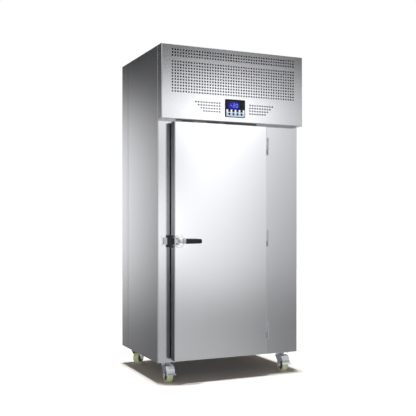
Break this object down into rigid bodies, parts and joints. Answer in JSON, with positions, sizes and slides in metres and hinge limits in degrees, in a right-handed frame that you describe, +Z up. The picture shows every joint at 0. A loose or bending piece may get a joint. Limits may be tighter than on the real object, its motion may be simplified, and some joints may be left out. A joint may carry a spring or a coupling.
{
  "type": "blast chiller",
  "caption": "Upright stainless blast chiller on casters: insulated overlay door with lever latch, tray racks, side evaporator, and a perforated hood over the refrigeration unit.",
  "frame": {"origin": "on the floor, under the middle of the footprint (latch grip to power inlet)", "axes": "+Z up; +Y from the door to the rear; +X to the right of someone facing the door"},
  "size_m": [0.955, 0.819, 2],
  "materials": {
    "brushed": "satin",
    "inner": "satin",
    "galvanised": "matte",
    "zinc": "satin",
    "chrome": "polished",
    "foam": "matte",
    "gasket": "matte",
    "black": "satin",
    "keeper": "satin",
    "display": "gloss",
    "key": "satin",
    "tread": "matte",
    "copper": "satin",
    "fins": "satin",
    "enamel": "gloss"
  },
  "bodies": {
    "cabinet": {"side_panel_left": "brushed", "side_panel_right": "brushed", "rear_panel": "brushed", "floor_pan": "brushed", "deck": "galvanised", "insulation_foam": "foam", "chamber_liner": "inner", "head_top_cover": "brushed", "hood": "brushed", "controller_housing": "black", "display_window": "display", "compressor": "enamel", "condenser_coil": "fins", "condenser_fan_shroud": "galvanised", "liquid_receiver": "enamel", "discharge_pipe": "copper", "electrical_box": "galvanised", "power_inlet": "black", "evaporator_coil": "fins", "evaporator_cover": "inner", "evaporator_fan_motor_upper": "galvanised", "evaporator_fan_motor_lower": "galvanised", "tray_rack_left": "inner", "tray_rack_right": "inner", "strike": "keeper", "frame_hinge_leaf_top": "zinc", "frame_hinge_leaf_middle": "zinc", "frame_hinge_leaf_bottom": "zinc", "caster_fl_plate": "zinc", "caster_fr_plate": "zinc", "caster_rl_plate": "zinc", "caster_rr_plate": "zinc"},
    "door": {"door_skin": "brushed", "door_foam": "foam", "door_liner": "inner", "door_gasket": "gasket", "latch_base": "chrome", "door_hinge_leaf_top": "zinc", "door_hinge_leaf_middle": "zinc", "door_hinge_leaf_bottom": "zinc"},
    "latch_lever": {"latch_lever": "chrome", "latch_grip": "black"},
    "latch_bolt": {"latch_bolt": "zinc"},
    "key_1": {"key_1": "key"},
    "key_2": {"key_2": "key"},
    "key_3": {"key_3": "key"},
    "key_4": {"key_4": "key"},
    "condenser_fan": {"condenser_fan": "black"},
    "evaporator_fan_upper": {"evaporator_fan_upper": "black"},
    "evaporator_fan_lower": {"evaporator_fan_lower": "black"},
    "caster_fl": {"caster_fl_fork": "zinc"},
    "wheel_fl": {"caster_fl_wheel": "tread"},
    "caster_fr": {"caster_fr_fork": "zinc"},
    "wheel_fr": {"caster_fr_wheel": "tread"},
    "caster_rl": {"caster_rl_fork": "zinc"},
    "wheel_rl": {"caster_rl_wheel": "tread"},
    "caster_rr": {"caster_rr_fork": "zinc"},
    "wheel_rr": {"caster_rr_wheel": "tread"},
    "brake_pedal_fl": {"brake_pedal_fl": "zinc"},
    "brake_pedal_fr": {"brake_pedal_fr": "zinc"}
  },
  "joints": [
    {"name": "door_swing", "type": "hinge", "parent": "cabinet", "child": "door", "pos_m": [0.231, -0.3565, 0.84125], "axis": [0, 0, 1], "range_deg": [0, 110]},
    {"name": "latch_lever_turn", "type": "hinge", "parent": "door", "child": "latch_lever", "pos_m": [-0.369, -0.3925, 0.84125], "axis": [0, 0, -1], "range_deg": [0, 35], "stiffness_Nm_per_rad": 2},
    {"name": "latch_bolt_slide", "type": "slide", "parent": "door", "child": "latch_bolt", "axis": [1, 0, 0], "range_m": [0, 0.012]},
    {"name": "key_1_press", "type": "slide", "parent": "cabinet", "child": "key_1", "axis": [0, 1, 0], "range_m": [0, 0.001], "stiffness_N_per_m": 300},
    {"name": "key_2_press", "type": "slide", "parent": "cabinet", "child": "key_2", "axis": [0, 1, 0], "range_m": [0, 0.001], "stiffness_N_per_m": 300},
    {"name": "key_3_press", "type": "slide", "parent": "cabinet", "child": "key_3", "axis": [0, 1, 0], "range_m": [0, 0.001], "stiffness_N_per_m": 300},
    {"name": "key_4_press", "type": "slide", "parent": "cabinet", "child": "key_4", "axis": [0, 1, 0], "range_m": [0, 0.001], "stiffness_N_per_m": 300},
    {"name": "condenser_fan_spin", "type": "hinge", "parent": "cabinet", "child": "condenser_fan", "pos_m": [-0.1775, -0.1632, 1.751], "axis": [0, 1, 0], "continuous": true},
    {"name": "evaporator_fan_upper_spin", "type": "hinge", "parent": "cabinet", "child": "evaporator_fan_upper", "pos_m": [0.2358, 0.0375, 1.17088], "axis": [1, 0, 0], "continuous": true},
    {"name": "evaporator_fan_lower_spin", "type": "hinge", "parent": "cabinet", "child": "evaporator_fan_lower", "pos_m": [0.2358, 0.0375, 0.51162], "axis": [1, 0, 0], "continuous": true},
    {"name": "caster_fl_swivel", "type": "hinge", "parent": "cabinet", "child": "caster_fl", "pos_m": [-0.4045, -0.2445, 0.1], "axis": [0, 0, 1], "continuous": true},
    {"name": "wheel_fl_roll", "type": "hinge", "parent": "caster_fl", "child": "wheel_fl", "pos_m": [-0.4045, -0.2765, 0.04], "axis": [1, 0, 0], "continuous": true},
    {"name": "caster_fr_swivel", "type": "hinge", "parent": "cabinet", "child": "caster_fr", "pos_m": [0.3825, -0.2445, 0.1], "axis": [0, 0, 1], "continuous": true},
    {"name": "wheel_fr_roll", "type": "hinge", "parent": "caster_fr", "child": "wheel_fr", "pos_m": [0.3825, -0.2765, 0.04], "axis": [1, 0, 0], "continuous": true},
    {"name": "caster_rl_swivel", "type": "hinge", "parent": "cabinet", "child": "caster_rl", "pos_m": [-0.4045, 0.3165, 0.1], "axis": [0, 0, 1], "continuous": true},
    {"name": "wheel_rl_roll", "type": "hinge", "parent": "caster_rl", "child": "wheel_rl", "pos_m": [-0.37999, 0.33707, 0.04], "axis": [-0.6428, 0.766, 0], "continuous": true},
    {"name": "caster_rr_swivel", "type": "hinge", "parent": "cabinet", "child": "caster_rr", "pos_m": [0.3825, 0.3165, 0.1], "axis": [0, 0, 1], "continuous": true},
    {"name": "wheel_rr_roll", "type": "hinge", "parent": "caster_rr", "child": "wheel_rr", "pos_m": [0.35799, 0.33707, 0.04], "axis": [-0.6428, -0.766, 0], "continuous": true},
    {"name": "brake_pedal_fl_tip", "type": "hinge", "parent": "caster_fl", "child": "brake_pedal_fl", "pos_m": [-0.4045, -0.2885, 0.088], "axis": [1, 0, 0], "range_deg": [0, 8]},
    {"name": "brake_pedal_fr_tip", "type": "hinge", "parent": "caster_fr", "child": "brake_pedal_fr", "pos_m": [0.3825, -0.2885, 0.088], "axis": [1, 0, 0], "range_deg": [0, 8]}
  ],
  "couplings": [
    {"joint": "latch_bolt_slide", "follows": "latch_lever_turn", "m_per_rad": 0.0196}
  ]
}
